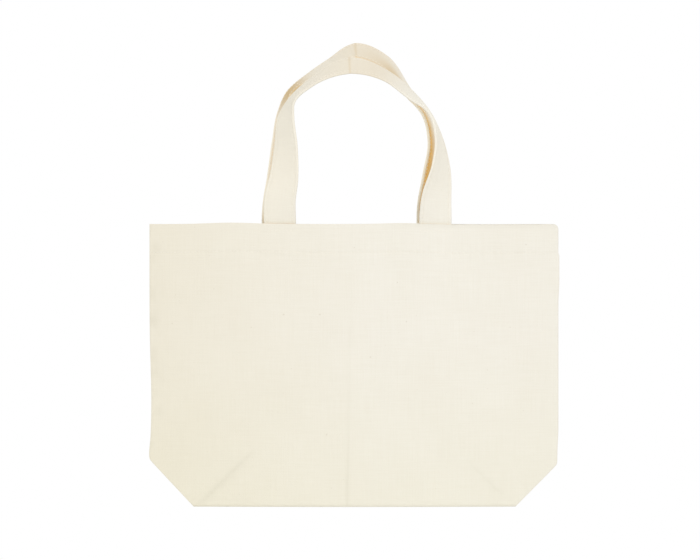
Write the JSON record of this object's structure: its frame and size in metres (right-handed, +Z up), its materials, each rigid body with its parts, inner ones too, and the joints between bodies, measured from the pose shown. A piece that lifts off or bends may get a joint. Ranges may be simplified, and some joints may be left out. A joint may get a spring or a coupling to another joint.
{
  "type": "canvas tote bag",
  "caption": "Natural cotton canvas tote bag with a tucked boxed base, a hemmed mouth and twisted strap handles, for carrying light goods by hand.",
  "frame": {"origin": "where a hand carries the bag: under the top of the front handle, on the bag's middle plane", "axes": "+Z up from the bag to the handles, +X to the right seen from the front, the front faces -Y"},
  "size_m": [0.36, 0.0582, 0.4091],
  "materials": {
    "canvas": "unbleached plain-weave cotton canvas",
    "strap": "folded plain-weave cotton canvas",
    "thread": "natural sewing thread"
  },
  "bodies": {
    "bag": {"base_front_half": "canvas", "base_back_half": "canvas", "corner_tuck_front_left": "canvas", "corner_tuck_front_right": "canvas", "corner_tuck_back_left": "canvas", "corner_tuck_back_right": "canvas", "gusset_ear_left": "canvas", "gusset_ear_right": "canvas", "corner_seam_left": "thread", "corner_seam_right": "thread", "side_seam_left": "canvas", "side_seam_right": "canvas", "bottom_seam": "canvas"},
    "front": {"front_panel": "canvas", "front_hem": "canvas", "front_hem_stitching": "thread", "front_handle_ends": "strap", "front_handle_stitching": "thread"},
    "back": {"back_panel": "canvas", "back_hem": "canvas", "back_hem_stitching": "thread", "back_handle_ends": "strap", "back_handle_stitching": "thread"},
    "front_handle": {"front_handle": "strap"},
    "back_handle": {"back_handle": "strap"}
  },
  "joints": [
    {"name": "mouth_front", "type": "hinge", "parent": "bag", "child": "front", "pos_m": [0, -0.013, -0.38], "axis": [1, 0, 0], "range_deg": [0, 8], "stiffness_Nm_per_rad": 0.3},
    {"name": "mouth_back", "type": "hinge", "parent": "bag", "child": "back", "pos_m": [0, 0.013, -0.38], "axis": [-1, 0, 0], "range_deg": [0, 8], "stiffness_Nm_per_rad": 0.3},
    {"name": "front_handle_fold", "type": "hinge", "parent": "front", "child": "front_handle", "pos_m": [0, -0.0172, -0.13], "axis": [1, 0, 0], "range_deg": [0, 160]},
    {"name": "back_handle_fold", "type": "hinge", "parent": "back", "child": "back_handle", "pos_m": [0, 0.0172, -0.13], "axis": [-1, 0, 0], "range_deg": [0, 160]}
  ],
  "couplings": [
    {"joint": "mouth_back", "follows": "mouth_front", "ratio": 1}
  ]
}
